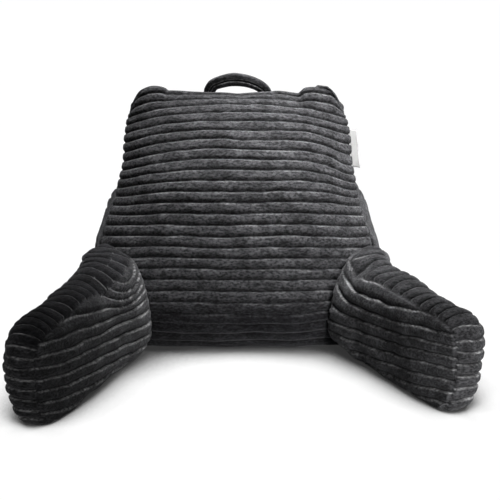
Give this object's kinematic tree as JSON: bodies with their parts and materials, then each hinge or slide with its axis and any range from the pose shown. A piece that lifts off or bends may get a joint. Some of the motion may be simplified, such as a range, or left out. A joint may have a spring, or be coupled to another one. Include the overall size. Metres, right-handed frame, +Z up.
{
  "type": "reading pillow with arms",
  "caption": "Free-standing filled backrest pillow with a wedge back, two splayed arms and a carrying strap, in a wide-ribbed plush.",
  "frame": {"origin": "plan centre of the pillow's box, on the surface it stands on", "axes": "+Z up; the front panel and the arms face -Y; +X is the viewer's right when looking at the front"},
  "size_m": [0.7886, 0.6324, 0.4112],
  "materials": {
    "plush": "matte short-pile plush with wide ribs",
    "ribbon": "plain woven ribbon"
  },
  "bodies": {
    "root": {"back": "plush", "arm_right": "plush", "arm_left": "plush", "carry_strap": "plush", "side_tag": "ribbon"}
  },
  "joints": []
}
